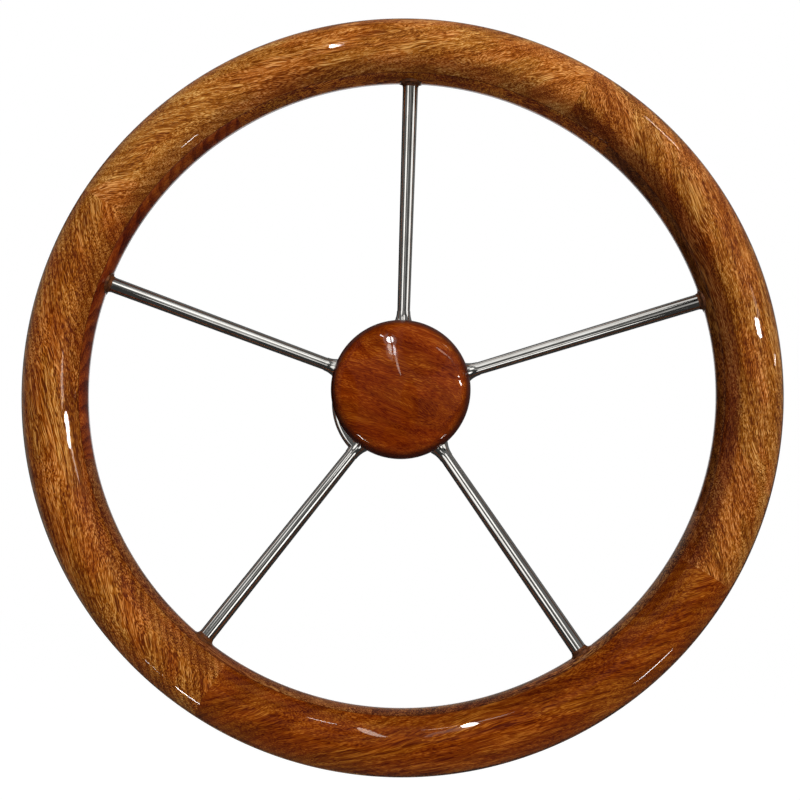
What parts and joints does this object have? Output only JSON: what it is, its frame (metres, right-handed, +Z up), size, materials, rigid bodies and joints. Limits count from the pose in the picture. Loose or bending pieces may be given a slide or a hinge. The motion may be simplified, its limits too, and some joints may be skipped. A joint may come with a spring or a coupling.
{
  "type": "boat steering wheel",
  "caption": "Round-section varnished wooden rim on polished steel spokes that run to a tapered-bore hub under a domed wooden cap.",
  "frame": {"origin": "on the wheel's axis, at the large end of the hub's tapered bore, which lies in the hub's back face", "axes": "the wheel turns about +Y, which points from the front to the back, along the shaft; the steersman looks along +Y at the cap; +Z is up along the first spoke and +X is to the right"},
  "size_m": [0.4, 0.0746, 0.4],
  "materials": {
    "varnished_wood": "reddish-brown interlocked-grain hardwood under thick clear gloss varnish",
    "cap_wood": "the same hardwood, darker and redder, under clear gloss varnish",
    "polished_steel": "stainless steel polished to a mirror",
    "screw_steel": "plain stainless screw steel",
    "set_glue": "dark set glue, varnished over",
    "spigot_plastic": "turned black acetal",
    "seal_rubber": "black rubber"
  },
  "bodies": {
    "wheel": {"rim_front_1": "varnished_wood", "rim_front_2": "varnished_wood", "rim_front_3": "varnished_wood", "rim_front_4": "varnished_wood", "rim_core_1": "varnished_wood", "rim_core_2": "varnished_wood", "rim_core_3": "varnished_wood", "rim_core_4": "varnished_wood", "rim_core_5": "varnished_wood", "rim_back_1": "varnished_wood", "rim_back_2": "varnished_wood", "rim_back_3": "varnished_wood", "rim_back_4": "varnished_wood", "spoke_1": "polished_steel", "spoke_2": "polished_steel", "spoke_3": "polished_steel", "spoke_4": "polished_steel", "spoke_5": "polished_steel", "spoke_collars": "set_glue", "hub_body": "polished_steel", "spoke_welds": "polished_steel"},
    "cap": {"hub_cap": "cap_wood", "cap_spigot": "spigot_plastic", "cap_seal_ring": "seal_rubber", "cap_screws": "screw_steel"}
  },
  "joints": [
    {"name": "cap_pull", "type": "slide", "parent": "wheel", "child": "cap", "axis": [0, -1, 0], "range_m": [0, 0.04]}
  ]
}
